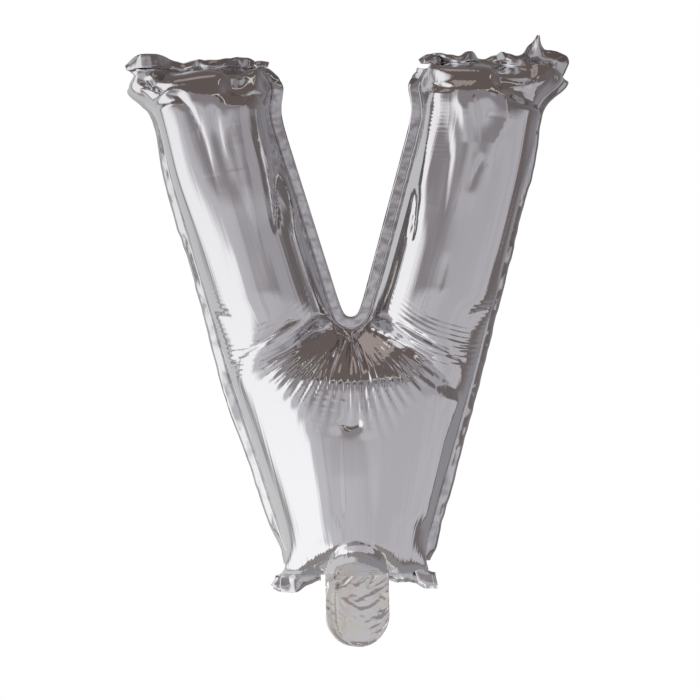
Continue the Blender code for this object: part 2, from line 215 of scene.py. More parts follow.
def flatHalf(t, u):
    # one half's flat cut: rows run straight from the outer weld to the gap's weld, or below the notch to the
    # letter's middle line. With it go the film's lengths, which place the start shape
    inLeg = t <= 1
    film = {"inLeg": inLeg, "gap": sum(gapLine(cut)[4:])}
    film["downGap"] = t[inLeg] * film["gap"]
    film["fromFoot"] = (2 - t[~inLeg]) * cut["notch"]
    inner = np.zeros((len(t), 2))
    inner[inLeg] = alongGap(cut, film["downGap"])
    inner[~inLeg, 1] = film["fromFoot"]
    head, foot = np.array([cut["headOuter"], cut["top"]]), np.array([cut["foot"], 0.0])
    film["outer"] = np.linalg.norm(head - foot)
    film["kneeShare"] = knee = (film["gap"] + cut["kneeBelow"]) / (film["gap"] + cut["notch"])
    film["share"] = np.where(inLeg, t * knee, knee + (t - 1) * (1 - knee))
    outer = head + film["share"][:, None] * (foot - head)
    return outer[:, None] * (1 - u)[None, :, None] + inner[:, None] * u[None, :, None], film


def startHalf(t, u, film, side):
    # the shape to start from: rows are half circles across a leg and quarters across the body, and quarter
    # ellipses take their depth to nothing at the head and the foot
    inLeg = film["inLeg"]
    gap = chordOf(film["downGap"], tube["headRound"], tube["headFilm"])
    inner = np.zeros((len(t), 2))
    inner[inLeg] = alongGap(filled, gap / gap[-1] * sum(gapLine(filled)[4:]))
    inner[inLeg, 0] -= bell(filled["top"] - inner[inLeg, 1], *side["innerEar"])
    whole = chordOf(np.array([cut["notch"]]), tube["footRound"], tube["footFilm"])[0]
    up = chordOf(film["fromFoot"], tube["footRound"], tube["footFilm"])
    inner[~inLeg, 1] = up / whole * filled["notch"]
    outer = outerWeld(side, film)
    body = ease(t, *tube["opens"])[:, None]
    across = (1 - body) * (1 - np.cos(math.pi * u)) / 2 + body * (1 - np.cos(math.pi * u / 2))
    lift = (1 - body) * np.sin(math.pi * u) + body * np.sin(math.pi * u / 2)
    place = outer[:, None] * (1 - across)[..., None] + inner[:, None] * across[..., None]
    far = 1000.0  # beyond any quarter ellipse
    down, up = np.where(inLeg, t * film["gap"], far), np.full(len(t), far)
    up[~inLeg] = film["fromFoot"]
    toHead = (film["share"] * film["outer"])[:, None] * (1 - u) + down[:, None] * u
    toFoot = ((1 - film["share"]) * film["outer"])[:, None] * (1 - u) + up[:, None] * u
    deep = tube["leg"] + (tube["body"] - tube["leg"]) * ease(t, *tube["deepens"])
    deep = deep + (tube["foot"] - tube["body"]) * ease(t, *tube["thins"])
    depth = deep[:, None] * lift * riseOf(toHead, tube["headFilm"]) * riseOf(toFoot, tube["footFilm"])
    start = upright(place, -depth)
    for end, row in (("head", 0), ("foot", -1)):
        start[row] = endWeld(outer[row], inner[row], len(u), *side[end])
    return start


def pattern(level):
    # a grid for each half of the front, rows from head to foot, with the notch's in the middle, and columns
    # from the outer weld inwards: the flat cut of both, and each one's start shape, as if on the right
    t = np.linspace(0, 2, 2 * relaxing["rows"] * 2 ** level + 1)
    u = np.linspace(0, 1, relaxing["columns"] * 2 ** level + 1)
    flat, film = flatHalf(t, u)
    return flat, startHalf(t, u, film, rightWeld), startHalf(t, u, film, leftWeld)


def weldLoop(rows, columns):
    # the grid's edge in order: up the gap from the notch, across the head, down the outside, across the foot
    up = np.arange(rows // 2, 0, -1)
    back = np.arange(columns - 1, 0, -1)
    down = np.arange(rows - 1)
    on = np.arange(columns)
    row = np.concatenate([up, 0 * back, down, 0 * on + rows - 1])
    column = np.concatenate([0 * up + columns - 1, back, 0 * down, on])
    return row, column


def marginStrip(loop, cells, width):
    # a strip of cells outside a line in the plane: every point moves out along the mitre of its neighbours
    before = np.concatenate([[loop[1] * (-1, 1)], loop[:-1]])
    after = np.concatenate([loop[1:], [loop[-2] * (-1, 1)]])
    ways = []
    for way in (loop - before, after - loop):
        way = unit(way)
        ways.append(np.stack([-way[:, 1], way[:, 0]], -1))
    mitre = ways[0] + ways[1]
    mitre /= (mitre * ways[0]).sum(1, keepdims=True)
    out = np.linspace(0, width, cells + 1)
    return loop[:, None] + mitre[:, None] * out[None, :, None]


def flatMargin(flatLoop, filledLoop, across, cells):
    # the margin's flat cut, outside a line that runs as the flat weld does, but along the sides is no longer
    # than the filled weld, so that only the corners, the heads and the foot are ruffled hard
    z = filledLoop[:, 2]
    near, far = margin["corner"]
    inSide = between(z, (near, far), (filled["top"] - far, filled["top"] - near)) * ~across
    step = np.diff(flatLoop, axis=0)
    flatLong = np.linalg.norm(step, axis=1)
    filledLong = np.linalg.norm(np.diff(filledLoop[:, [0, 2]], axis=0), axis=1)
    share = (inSide[1:] + inSide[:-1]) / 2
    long = flatLong * (1 - share) + np.minimum(flatLong, filledLong) * share
    step = step / flatLong[:, None] * long[:, None]
    line = flatLoop[0] + np.concatenate([[[0, 0]], np.cumsum(step, axis=0)])
    return marginStrip(line, cells, margin["width"])


# the film finds its shape: cells keep their flat size while the air pushes
def links(flat):
    # pairs of grid points that keep their flat distance: along, across and both diagonals, in two turns each
    rows, columns = flat.shape[:2]
    every = slice(None)
    pairs = []
    for k in (0, 1):
        odd, after = slice(k, columns - 1, 2), slice(k + 1, columns, 2)
        pairs.append((every, odd, every, after, 1.0))
        odd, after = slice(k, rows - 1, 2), slice(k + 1, rows, 2)
        pairs.append((odd, every, after, every, 1.0))
        pairs.append((odd, slice(0, columns - 1), after, slice(1, columns), 0.5))
        pairs.append((odd, slice(1, columns), after, slice(0, columns - 1), 0.5))
    pairs.sort(key=lambda pair: -pair[4])
    out = []
    for r0, c0, r1, c1, firm in pairs:
        rest = np.linalg.norm(flat[r1, c1] - flat[r0, c0], axis=-1)
        out.append(((every, r0, c0), (every, r1, c1), rest, firm / 2))
    return out


def bends(flat):
    # runs of three neighbours each way, in three turns, that resist being folded
    every = slice(None)
    out = []
    for k in range(3):
        for axis, size in enumerate(flat.shape[:2]):
            if size > 2:
                runs = [slice(k + n, size - 2 + n, 3) for n in range(3)]
                out.append([(every, run, every) if axis == 0 else (every, every, run) for run in runs])
    return out


def unit(vectors, least=1e-6):
    # each vector over its own length
    return vectors / np.maximum(np.linalg.norm(vectors, axis=-1, keepdims=True), least)


def outward(p, turn):
    # unit normals from differences along and across the grid, turned to point out of the balloon
    return unit(np.cross(np.gradient(p, axis=1), np.gradient(p, axis=2)) * turn, 1e-9)


def relax(films, steps, settle):
    # each step carries the speed on, adds the push, then moves every pair back to its flat distance
    for film in films:
        film["pairs"], film["runs"] = links(film["flat"]), bends(film["flat"])
        film["before"] = film["p"].copy()
    for step in range(steps):
        for film in films:
            p = film["p"]
            speed = (p - film["before"]) * relaxing["keep"]
            film["before"] = p.copy()
            p += speed
            if film["push"]:
                if step % 2 == 0:
                    film["normal"] = outward(p, film["turn"]) * film["push"]
                p += film["normal"]
            for a, b, rest, firm in film["pairs"]:
                gap = p[b] - p[a]
                length = np.sqrt(np.einsum("...i,...i->...", gap, gap))
                change = (length - rest) / np.maximum(length, 1e-9) * firm
                change[change < 0] *= film["squeeze"]
                gap *= change[..., None]
                p[a] += gap
                p[b] -= gap
            for a, m, b in film["runs"]:
                gap = ((p[a] + p[b]) / 2 - p[m]) * (film["bend"] / 2)
                p[m] += gap
                p[a] -= gap / 2
                p[b] -= gap / 2
        settle()


turns = np.array([-1, 1, 1, -1.0])[:, None, None, None]  # front right, front left, back right, back left
steadying = {  # most of a share, where it comes in and where it fades, as t
    "tubes": ((0.9, (-0.02, 0.12), (0.82, 0.98)), (0.85, (1.03, 1.22), (1.72, 1.93))),
    "outside": (0.9, (0.0, 0.1), (1.85, 1.97)),
    "reach": (0.08, 0.3),  # of the film beside the outer weld, as a share of the way inwards
}


def steadied(sheets, strips, halves, loop):
    # the middles of the legs and of the body, and the film beside the outer weld, are drawn most of the way
    # to their start shape, an even tube, so that crumples stay at the ends and round the notch: a weighted
    # mean. The margins follow their welds
    t, u = np.linspace(0, 2, sheets.shape[1]), np.linspace(0, 1, sheets.shape[2])
    tubes = sum(most * ease(t, *comes) * (1 - ease(t, *fades)) for most, comes, fades in steadying["tubes"])
    most, comes, fades = steadying["outside"]
    beside = most * (1 - ease(u, *steadying["reach"])) * between(t, comes, fades)[:, None]
    share = np.maximum(tubes[:, None], beside)[..., None]
    for k, way in enumerate(((1, 1, 1), (-1, 1, 1), (1, -1, 1), (-1, -1, 1))):
        moved = (halves[k % 2] * way - sheets[k]) * share
        sheets[k] += moved
        if k < 2:
            strips[k] += moved[loop][:, None]


def startFilms(halves, loop, lines):
    # front right, front left, back right and back left sheet from the halves' start shapes, mirrored, and a
    # strip of margin set out straight from the weld of each half
    starts = []
    for y in (1, -1):
        for x, half in zip((1, -1), halves):
            start = half * (x, y, 1)
            start[[0, -1]] = half[[0, -1]] * (x, 1, 1)  # front and back share the end welds
            starts.append(start)
    out = marginStrip(halves[0][loop][:, [0, 2]], margin["cells"], margin["width"])
    out = upright(out - out[:, :1])
    strips = np.stack([lines[0][:, None] + out, lines[1][:, None] + out * (-1, 1, 1)])
    sheet = {"p": np.stack(starts), "turn": turns, "squeeze": relaxing["squeeze"], "bend": relaxing["bend"]}
    return sheet, {"p": strips, "push": 0, "squeeze": 1.0, "bend": margin["bend"]}


def sewing(sheet, strip, loop, lines, across):
    # what ends each step: at a weld, both sheets and the margin meet in their mean, which is drawn to its
    # line, less and less towards the corners. The panels don't cross, and their halves meet below the notch
    z = lines[0][:, 2]
    far, near = relaxing["fromHead"]
    firm = between(z, relaxing["fromFoot"], (filled["top"] - far, filled["top"] - near))
    atCorner, midway = relaxing["guide"]
    firm = atCorner + (midway - atCorner) * firm
    firm = (firm * ~across)[:, None]
    ends = (relaxing["endGuide"] * across)[:, None]
    notch = sheet["p"].shape[1] // 2

    def settle():
        p, s = sheet["p"], strip["p"]
        for k in (0, 1):
            weld = (p[k][loop] + p[k + 2][loop] + s[k, :, 0]) / 3
            weld[:, ::2] += (lines[k][:, ::2] - weld[:, ::2]) * firm
            weld[:, 1] *= 1 - firm[:, 0]
            weld[:, 1:] += (lines[k][:, 1:] - weld[:, 1:]) * ends
            p[k][loop] = p[k + 2][loop] = s[k, :, 0] = weld
            p[k, ..., 1] = np.minimum(p[k, ..., 1], p[k + 2, ..., 1] - relaxing["apart"])
        for a, b in ((0, 1), (2, 3)):
            p[a, notch:, -1] = p[b, notch:, -1] = (p[a, notch:, -1] + p[b, notch:, -1]) / 2
        for end in (0, -1):
            s[0, end] = s[1, end] = (s[0, end] + s[1, end]) / 2

    return settle


def panels():
    # the four sheets and the two strips of margin, relaxed together from coarse to fine
    rng = np.random.default_rng(relaxing["seed"])
    sheet = strip = None
    for level, steps in enumerate(relaxing["steps"]):
        flat, right, left = pattern(level)
        loop = weldLoop(*flat.shape[:2])
        across = (loop[0] == 0) | (loop[0] == len(flat) - 1)
        lines = np.stack([right[loop], left[loop] * (-1, 1, 1)])
        if sheet is None:
            sheet, strip = startFilms((right, left), loop, lines)
        else:
            for film in (sheet, strip):
                film["p"] = doubled(doubled(film["p"], 1), 2)
        sheet["flat"], sheet["push"] = flat, relaxing["push"] / 4 ** level
        strip["flat"] = flatMargin(flat[loop], lines[0], across, margin["cells"] * 2 ** level)
        for film in (sheet, strip):
            film["p"] += rng.normal(size=film["p"].shape) * relaxing["noise"] / 2 ** level
        relax([sheet, strip], steps, sewing(sheet, strip, loop, lines, across))
        deepest = round(float(np.abs(sheet["p"][..., 1]).max()), 1)
        print("film relaxed on", flat.shape[0], "by", flat.shape[1], "points a sheet, deepest", deepest)
    steadied(sheet["p"], strip["p"], (right, left), loop)
    return sheet["p"], strip["p"], strip["flat"]


# folds as seen on the front: kind, chain of x and z in mm from the top down, height, width (or the widths to
# the left and to the right hand of the chain), fade at the chain's start and end
leftFolds = [
    ("soft", [(-123, 322), (-120, 305), (-114, 277), (-107, 247), (-99, 214)],
     3.0, (9.0, 6.0), 0.04, 0.6),  # outer ridge, under the head's outer pinch
    ("sharp", [(-142, 342), (-133, 334), (-125, 327)], -8.0, 4.0, 0.3, 0.1),  # tucks at the corners
    ("sharp", [(-124, 327), (-114, 326), (-106, 317), (-100, 303), (-94, 282), (-88, 260), (-84, 236)],
     -3.0, 3.0, 0.1, 0.8),
    ("sharp", [(-78, 342), (-72, 334), (-65, 326)], -2.5, 4.0, 0.3, 0.1),
    ("sharp", [(-67, 326), (-58, 327), (-52, 326)], -2.5, 2.5, 0.1, 0.3),
    ("soft", [(-86, 337), (-73, 334), (-58, 335)], -4.0, (8.0, 12.0), 0.3, 0.3),  # facet over the inner pinch
    ("sharp", [(-112, 354), (-112, 348), (-111, 341)], -3.0, 3.0, 0.3, 0.4),  # the lid's two pinches
    ("sharp", [(-80, 354), (-80, 347), (-81, 340)], -3.0, 3.0, 0.3, 0.4),
    ("soft", [(-66, 323), (-65, 293), (-60, 266), (-52, 232)],
     3.0, (9.0, 10.0), 0.06, 0.4),  # inner ridge, and the crease beyond its flank
    ("sharp", [(-46, 279), (-47, 256), (-49, 228)], -2.0, 2.0, 0.3, 0.3),
    ("soft", [(-47, 324), (-46, 289), (-46, 262), (-48, 230)], -2.4, 5.0, 0.15, 0.4),
    ("soft", [(-41, 282), (-39, 255), (-36, 225)], 2.0, 4.0, 0.2, 0.5),
    ("soft", [(-92, 335), (-89, 304), (-84, 273), (-78, 248)],
     -5.0, 13.0, 0.4, 0.6),  # funnel below the head's middle
    ("soft", [(-84, 321), (-80, 290), (-74, 260)], 1.3, 3.5, 0.2, 0.5),  # flutes in the funnel
    ("soft", [(-96, 321), (-92, 297), (-86, 266)], 1.0, 3.0, 0.2, 0.5),
    ("soft", [(-75, 324), (-73, 297), (-67, 263), (-59, 225), (-54, 188)], 0.9, 3.0, 0.2, 0.5),
    ("soft", [(-111, 233), (-102, 196), (-96, 165)], 0.7, 4.0, 0.3, 0.2),
    ("soft", [(-86, 229), (-78, 195), (-72, 168)], -0.6, 5.0, 0.3, 0.2),
    ("sharp", [(-82, 147), (-64, 157), (-42, 172), (-33, 175)], -3.4, 2.2, 0.2, 0.15),  # knee creases
    ("sharp", [(-65, 142), (-42, 154), (-21, 166), (-12, 169)], -2.6, 2.0, 0.3, 0.1),
    ("sharp", [(-6, 166), (-15, 139), (-18, 122)], -2.2, 1.8, 0.1, 0.5),
]
rightFolds = [
    ("soft", [(62, 329), (59, 306), (55, 279), (50, 250), (43, 219)],
     3.5, (7.0, 6.0), 0.06, 0.5),  # inner ridge
    ("sharp", [(47, 264), (44, 243), (41, 221)], -2.5, 1.6, 0.3, 0.3),
    ("sharp", [(56, 333), (60, 331), (65, 330), (72, 328)], -1.6, 2.0, 0.3, 0.3),  # pinch over it
    ("soft", [(73, 325), (79, 312), (82, 290), (77, 266), (70, 229)],
     1.4, 3.2, 0.15, 0.6),  # flutes below the head's middle
    ("soft", [(82, 326), (87, 307), (88, 283), (84, 256)], 1.2, 3.0, 0.15, 0.6),
    ("soft", [(68, 307), (68, 280), (63, 246), (56, 206)], -1.0, 3.2, 0.2, 0.5),
    ("sharp", [(98, 335), (103, 327), (107, 319), (106, 305), (99, 289), (94, 258)], 3.2, 4.0, 0.15, 0.5),
    ("soft", [(89, 331), (91, 307), (83, 252)], -4.0, 9.0, 0.4, 0.6),  # hollow below the head's middle
    ("sharp", [(92, 283), (86, 270), (81, 255)], -1.6, 1.5, 0.4, 0.4),  # small dark tucks
    ("sharp", [(66, 218), (62, 201), (57, 183)], -1.0, 1.3, 0.4, 0.4),
    ("soft", [(123, 330), (119, 312)], -3.0, 9.0, 0.4, 0.4),  # hollow beside the outer shoulder
    ("soft", [(96, 335), (112, 333), (130, 331)], -5.0, (9.0, 14.0), 0.3, 0.15),
    ("soft", [(130, 317), (124, 298), (111, 257), (97, 206), (87, 159)],
     4.5, (6.5, 14.0), 0.04, 0.2),  # outer shoulder with its steep flank
    ("sharp", [(130, 315), (124, 297), (111, 257), (97, 205), (88, 161)], 0.9, 1.5, 0.05, 0.1),
    ("sharp", [(20, 164), (50, 146), (64, 132)], -2.8, 2.0, 0.1, 0.3),  # knee creases
    ("sharp", [(28, 170), (61, 152), (80, 140)], -3.2, 2.2, 0.15, 0.2),
    ("sharp", [(-1, 166), (7, 139), (9, 108)], -2.0, 1.8, 0.1, 0.3),
]
bodyFolds = [
    ("soft", [(-61, 139), (-36, 116), (-26, 92), (-21, 58), (-19, 20)],
     2.6, (18.0, 10.0), 0.2, 0.15),  # edge of the body's left flank
    ("soft", [(71, 125), (58, 90), (42, 29)], 3.0, (5.0, 13.0), 0.1, 0.15),  # edge of its right flank
    ("sharp", [(71, 125), (58, 90), (42, 29)], 0.8, 1.3, 0.1, 0.1),
    ("soft", [(-11, 102), (-11, 71), (-10, 34)], -0.9, 3.5, 0.1, 0.3),  # shallow flutes over the neck
    ("soft", [(8, 98), (10, 70), (11, 36)], -0.6, 4.0, 0.1, 0.3),
    ("sharp", [(-10, 104), (-2, 101), (7, 104)],
     -3.0, 2.6, 0.25, 0.25),  # the tuck that shows as a dark crescent
    ("sharp", [(-20, 2), (-18, 13), (-10, 22), (0, 25), (10, 22), (18, 13), (20, 2)],
     -1.3, 1.6, 0.04, 0.04),  # the groove round the neck's dome
]
legPleats = {  # accordion pleats across the legs' lower ends, on arcs that sag outwards
    "lean": 0.27,  # of a leg from upright, in radians
    "knee": (60.0, 150.0),
    "sag": 120.0,
    "rows": (  # pitch, height, where they come in and fade down the arcs, and from how far out, mm
        (3.6, 0.42, (-14, -4), (6, 26), (24, 40)),  # across the knee
        (3.2, 0.34, (-18, -4), (20, 70), (8, 24)),  # up the outside
    ),
    "seed": 3,
}
fanPleats = {  # a fan round the notch
    "above": 10.0,  # its centre over the notch's weld
    "rows": (  # pitch, height, the ring's middle and half width, its ends in radians, radius, seed
        (5.0, 1.1, (54, 17), (0.95, 1.25), 50, 9),
        (3.0, 0.16, (24, 12), (0.9, 1.3), 26, 12),
    ),
}
ribs = [  # fine accordion wrinkles across a ridge: chain, half width, pitch, height
    ([(-129, 318), (-125, 302), (-121, 287), (-118, 272)], 4.0, 3.4, 0.22),
    ([(65, 328), (62, 305), (59, 280), (56, 262)], 4.6, 2.6, 0.28),
    ([(130, 315), (124, 296), (111, 256), (97, 204), (88, 157)], 2.0, 3.1, 0.2),
]
ribSeed = 20
valleys = {  # from the notch out to the knees
    "starts": (3, 22),  # mm from the letter's middle line
    "shallower": (0.75, 0.1, 1),  # by this share, between these places along the chain
    "fades": (0.75, 1),
    "rows": (  # chain, depth, width to the left and to the right hand of it
        ([(-6, 168), (-21, 166), (-42, 153), (-62, 141), (-76, 134)], 9.0, 14.0, 7.0),
        ([(6, 168), (20, 164), (48, 147), (64, 133), (74, 128)], 9.0, 7.0, 14.0),
    ),
}
headLevels = (  # rise, and the heights between which it comes in
    (5.0, 334.0, 344.0),  # the film over the heads stands above their welds
    (-3.5, 316.0, 334.0),  # the heads' fronts lean back below that
)
swell = {"middle": (0.0, 150.0), "half": (62.0, 32.0), "rise": 5.0}  # the body's front below the notch
neckDome = {"middle": (0.0, -4.0), "half": (21.5, 29.0), "rise": 3.2}
nearWeld = (1, 12)  # mm of depth over which all relief comes in


def nearLine(x, z, chain):
    # distance to a chain of points, how far along the chain the nearest place is, from 0 to 1, and whether
    # the point lies to its left: the sign of a cross product
    best, along, onLeft = np.full(x.shape, 1e9), np.zeros(x.shape), np.zeros(x.shape, bool)
    chain = np.array(chain, float)
    lengths = np.linalg.norm(np.diff(chain, axis=0), axis=1)
    run = 0.0
    for a, b, length in zip(chain[:-1], chain[1:], lengths):
        way = (b - a) / length
        s = np.clip((x - a[0]) * way[0] + (z - a[1]) * way[1], 0, length)
        d = np.hypot(x - a[0] - s * way[0], z - a[1] - s * way[1])
        along = np.where(d < best, (run + s) / lengths.sum(), along)
        onLeft = np.where(d < best, way[0] * (z - a[1]) > way[1] * (x - a[0]), onLeft)
        best = np.minimum(d, best)
        run += length
    return best, along, onLeft


def fold(x, z, kind, chain, height, width, fadeIn, fadeOut):
    # a ridge, or a groove where the height is negative, along a chain: a bell across it, or a sharp crease
    d, t, onLeft = nearLine(x, z, chain)
    fade = between(t, (0, fadeIn), (1 - fadeOut, 1))
    if isinstance(width, tuple):
        width = np.where(onLeft, *width)
    return height * fade * (np.exp(-(d / width) ** 2) if kind == "soft" else np.exp(-d / width))


def fromMiddle(x, z, place):
    # how far off the middle x and z are, each in half widths and squared
    return [((v - middle) / half) ** 2 for v, middle, half in zip((x, z), place["middle"], place["half"])]


def broadRelief(x, z):
    # a flat ellipsoid over the neck, eased levels at the heads, one wide bell on the body, less the valleys,
    # each a bell with its own width on either hand
    wide, high = fromMiddle(x, z, neckDome)
    height = neckDome["rise"] * np.sqrt(np.clip(1 - (wide + high), 0, 1))
    for rise, low, full in headLevels:
        height += rise * ease(z, low, full)
    wide, high = fromMiddle(x, z, swell)
    height += swell["rise"] * np.exp(-wide - high)
    for chain, depth, left, right in valleys["rows"]:
        d, t, onLeft = nearLine(x, z, chain)
        less, low, full = valleys["shallower"]
        fade = ease(np.abs(x), *valleys["starts"]) * (1 - less * ease(t, low, full))
        fade *= 1 - ease(t, *valleys["fades"])
        height -= depth * fade * np.exp(-(d / np.where(onLeft, left, right)) ** 2)
    return height


def chance(i, seed):
    # a repeatable number from 0 to 1 for each whole number: the fraction of a large sine
    v = np.sin(i * 127.1 + seed * 311.7) * 43758.5453
    return v - np.floor(v)


def wobble(t, seed, cell):
    # smooth noise from -1 to 1 along t: chance numbers at whole cells, eased between
    s = t / cell
    k = s - np.floor(s)
    k = k * k * (3 - 2 * k)
    return 2 * (chance(np.floor(s), seed) * (1 - k) + chance(np.floor(s) + 1, seed) * k) - 1


uneven = {"drift": 0.35, "slant": 0.25, "height": 0.6, "varies": 0.4}  # shares of a pleat's pitch and height


def ripples(t, across, pitch, seed):
    # pleats along t: a cosine of uneven pitch, whose height changes from one pleat to the next and across
    phase = t / pitch + uneven["drift"] * wobble(t, seed, pitch * 3)
    phase = phase + uneven["slant"] * wobble(across, seed + 5, pitch * 4)
    varies = wobble(np.floor(phase) * 7.3 + across / (pitch * 4), seed + 1, 1.0)
    return np.cos(2 * math.pi * phase) * (uneven["height"] + uneven["varies"] * varies)


def pleats(x, z, seed):
    # the rows of pleats on the legs, those of the fan and those on the ribs, each faded in and out
    ax, half = np.abs(x), np.where(x > 0, 0, 1) + seed
    lean, (kneeX, kneeZ) = legPleats["lean"], legPleats["knee"]
    down = (z - kneeZ) * math.cos(lean) + (ax - kneeX) * math.sin(lean)
    off = (ax - kneeX) * math.cos(lean) - (z - kneeZ) * math.sin(lean)
    arc = down - off ** 2 / legPleats["sag"]
    out = np.zeros(x.shape)
    for n, (row, outwards) in enumerate(zip(legPleats["rows"], (ax, off))):
        pitch, high, comes, fades, beyond = row
        zone = between(arc, comes, fades) * ease(outwards, *beyond)
        out += high * zone * ripples(arc, off, pitch, legPleats["seed"] + n + half)
    centre = filled["notch"] + fanPleats["above"]
    r, angle = np.hypot(x, z - centre), np.arctan2(x, centre - z)
    for pitch, high, ring, ends, radius, own in fanPleats["rows"]:
        zone = bump(r, *ring) * (1 - ease(np.abs(angle), *ends))
        out += high * zone * ripples(angle * radius, r, pitch, own + seed)
    for n, (chain, half, wide, high) in enumerate(ribs):
        d, t, _ = nearLine(x, z, chain)
        long = np.linalg.norm(np.subtract(chain[-1], chain[0]))
        rise = high * bump(d, 0, half) * ease(t, 0, 0.1) * (1 - ease(t, 0.7, 1))
        out += rise * ripples(t * long, d, wide, ribSeed + n)
    return out


def narrowRelief(x, z):
    # the named folds, and the pleats of the front and of the back, which are seeded apart
    height = sum(fold(x, z, *row) for row in leftFolds + rightFolds + bodyFolds)
    height[:2] += pleats(x[:2], z[:2], 0)
    height[2:] += pleats(x[2:], z[2:], 2)
    return height


def dressed(sheets):
    # the relaxed sheets on a finer grid, with the broad relief and then folds and pleats along the normals
    p = doubled(doubled(doubled(sheets, 1), 1), 2)
    notch = p.shape[1] // 2
    x, z = p[..., 0] * np.array([1, 1, -1, -1])[:, None, None], p[..., 2]
    for layer in (broadRelief, narrowRelief):
        normal = outward(p, turns)
        for k in (0, 2):  # the halves share their middle line, and so its normals
            joined = normal[k, notch:, -1] + normal[k + 1, notch:, -1]
            joined[:, 0] = 0
            normal[k:k + 2, notch:, -1] = unit(joined)
        height = layer(x, z) * ease(np.abs(p[..., 1]), *nearWeld)
        p = p + normal * height[..., None]
    print("folds and pleats set on", p[..., 0].size, "points")
    return p


ruffle = {  # how the margins at the heads and the foot fold back, in radians from upright
    "lean": 1.3,
    "swing": (0.55, 0.35),  # at the right and the left head
    "cell": (10.0, 14.0),  # length of the waves, mm
    "fine": (0.4, 5),  # smaller waves on them: share and length
    "curl": 0.3,  # share of the turn that a strip has already at its weld
    "atHead": (16, 5),  # mm below the heads over which it comes in
    "atFoot": (2, 10),
    "foot": 0.85,
    "kept": 0.3,  # of the relaxed film's lean, along the sides
    "outer": 0.75,  # how far the outer margins lean back
    "facing": (0, 0.6),  # over this share of their direction that points outwards
    "uneven": ((0.35, 34), (0.07, 6)),  # noises on that lean: share and length
    "smooth": 6,  # rounds of smoothing for the directions square to a weld
    "flap": 1.2,  # height of a flap's bell, cut off flat at 1
    "seed": 21,
}
# flaps that stand up: side 0 right or 1 left, middle x, half width, by how much raised, how much wider
headFlaps = [
    (1, -132, 11, 1.1, 0.3), (1, -72, 8, 0.6, 0.0), (1, -98, 9, 0.3, 0.0),
    (0, 64, 8, 0.9, 0.0), (0, 86, 6, 0.5, 0.0), (0, 107, 10, 0.6, 0.0),
    (0, 129, 6, 1.5, 1.3), (0, 146, 5, 0.8, 0.3),  # the tall ear and the lobe beside it
]
footFlaps = [(1, -46, 10, 1.5, 0.5), (0, 50, 8, 1.3, 0.5), (0, 30, 6, 0.6, 0.0)]


def squareTo(weld, away):
    # directions in the letter's plane at right angles to a weld, on the side of away, smoothed along it
    tangent = np.gradient(weld, axis=0)
    square = np.stack([tangent[:, 2], 0 * tangent[:, 0], -tangent[:, 0]], -1)
    square *= np.sign((square * away).sum())
    for _ in range(ruffle["smooth"]):
        square[1:-1] = (square[:-2] + 2 * square[1:-1] + square[2:]) / 4
    return unit(square)


def ruffled(strips):
    # the margins at the heads and the foot curl back: each row of a strip turns further from the letter's
    # plane, point by point, by smooth noise along the weld less a bell for each flap. Along the legs and the
    # body they stand square to the weld and lean by a share of what the relaxed film gave them, and those on
    # the outer welds also lean back
    out = strips.copy()
    back = (0, 1, 0)
    last = strips.shape[2] - 1
    for k in (0, 1):
        weld = strips[k][:, 0]
        along = np.concatenate([[0], np.cumsum(np.linalg.norm(np.diff(weld, axis=0), axis=1))])
        away = strips[k][:, -1] - weld
        away[:, 1] = 0
        square = squareTo(weld, away)
        away = unit(away)
        high, low = ruffle["atHead"]
        atHead = ease(weld[:, 2], filled["top"] - high, filled["top"] - low)
        atFoot = 1 - ease(weld[:, 2], *ruffle["atFoot"])
        zone = np.maximum(atHead, ruffle["foot"] * atFoot)[:, None]
        seed = ruffle["seed"] + 7 * k
        share, cell = ruffle["fine"]
        waves = wobble(along, seed, ruffle["cell"][k]) + share * wobble(along, seed + 2, cell)
        turn = ruffle["lean"] + ruffle["swing"][k] * waves
        sway = 1
        for n, (share, cell) in enumerate(ruffle["uneven"]):
            sway = sway + share * wobble(along, seed + 4 + n, cell)
        outer = ruffle["outer"] * ease(square[:, 0] * (1, -1)[k], *ruffle["facing"]) * sway
        width = np.full(len(weld), margin["width"] / last)
        for flaps, end in ((headFlaps, atHead), (footFlaps, atFoot)):
            for side, middle, half, raised, wider in flaps:
                if side == k:
                    shape = np.minimum(bell(weld[:, 0], ruffle["flap"], middle, half), 1) * end
                    turn -= raised * shape
                    width *= 1 + wider * shape
        for j in range(1, last + 1):
            angle = (turn * (ruffle["curl"] + (1 - ruffle["curl"]) * j / last))[:, None]
            curled = out[k][:, j - 1] + (np.cos(angle) * away + np.sin(angle) * back) * width[:, None]
            leant = strips[k][:, j] - strips[k][:, j - 1]
            long = np.linalg.norm(leant, axis=1, keepdims=True)
            lean = ruffle["kept"] * leant[:, 1:2] / np.maximum(long, 1e-6) + outer[:, None]
            straight = out[k][:, j - 1] + (np.cos(lean) * square + np.sin(lean) * back) * long
            out[k][:, j] = straight + (curled - straight) * zone
    return out


def meshFrom(name, points, quads, uv):
    # a mesh object at the origin from points in mm and an array of quads, with its UV map in metres of film
    mesh = bpy.data.meshes.new(name)
    mesh.vertices.add(len(points))
    mesh.vertices.foreach_set("co", (points * mm).ravel())
    mesh.loops.add(quads.size)
    mesh.loops.foreach_set("vertex_index", quads.ravel())
    mesh.polygons.add(len(quads))
    mesh.polygons.foreach_set("loop_start", np.arange(0, quads.size, 4))
    mesh.update(calc_edges=True)
    layer = mesh.uv_layers.new(name="film")
    layer.data.foreach_set("uv", uv[quads.ravel()].ravel())
    mesh.validate()
    mesh.shade_smooth()
    return addPiece(name, mesh)


def gridQuads(index):
    # the quads between neighbouring rows and columns of an array of point numbers
    return np.stack([index[:-1, :-1], index[1:, :-1], index[1:, 1:], index[:-1, 1:]], -1).reshape(-1, 4)


